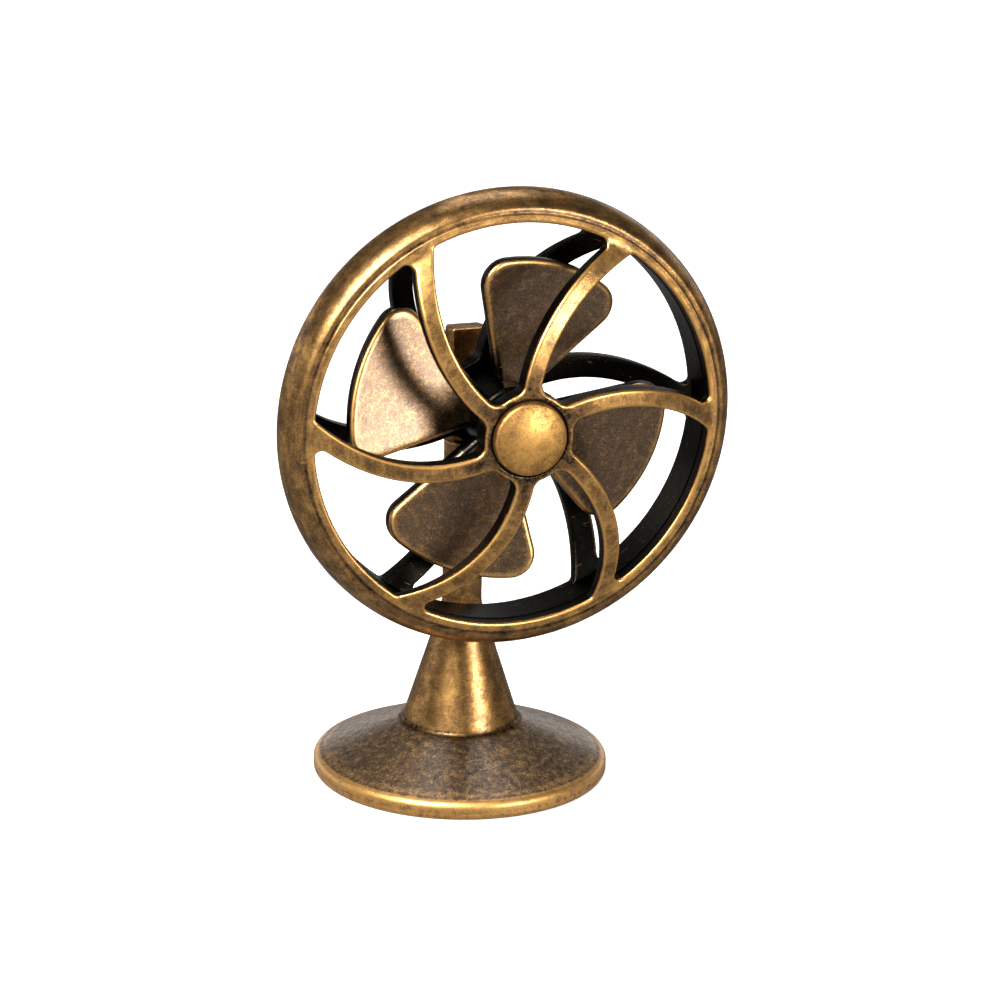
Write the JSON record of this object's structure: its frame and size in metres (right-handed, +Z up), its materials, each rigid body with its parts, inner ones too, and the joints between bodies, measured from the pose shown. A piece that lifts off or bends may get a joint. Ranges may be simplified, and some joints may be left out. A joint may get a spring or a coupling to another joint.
{
  "type": "desk fan",
  "caption": "Small metal desk fan: round foot, tapered post, two domed guard halves with swirled spokes, and a pitched-blade rotor that spins freely on its axle.",
  "frame": {"origin": "centre of the resting face, under the post", "axes": "+Z up along the post, the rotor and its guard face -Y, +X to the fan's left as it faces you from -Y (viewer's right)"},
  "size_m": [0.0296, 0.0237, 0.0414],
  "materials": {
    "stand_patina": "antique brass finish, dark speckled patina, brighter rim",
    "cone_patina": "antique brass finish, satin, worn bright",
    "guard_patina": "antique brass finish, mottled, edges rubbed bright",
    "rear_guard_patina": "antique brass finish, dark and glossy inside",
    "blade_patina": "antique brass finish, dark brown with bright edges",
    "cap_patina": "antique brass finish, burnished",
    "plain_steel": "bright wire steel",
    "washer_brass": "plain brass sheet",
    "pad_felt": "thin black felt"
  },
  "bodies": {
    "stand": {"base_disc": "stand_patina", "base_pad": "pad_felt", "base_screw": "plain_steel", "base_washer": "plain_steel", "pedestal": "cone_patina", "rear_guard": "rear_guard_patina", "front_guard": "guard_patina", "guard_dowels": "plain_steel", "axle": "plain_steel", "front_washer": "washer_brass", "rear_washer": "washer_brass", "nose_cap": "cap_patina", "rear_collar": "cap_patina"},
    "rotor": {"rotor": "blade_patina"}
  },
  "joints": [
    {"name": "rotor_spin", "type": "hinge", "parent": "stand", "child": "rotor", "pos_m": [0, -0.008, 0.02656], "axis": [0, -1, 0], "continuous": true}
  ]
}
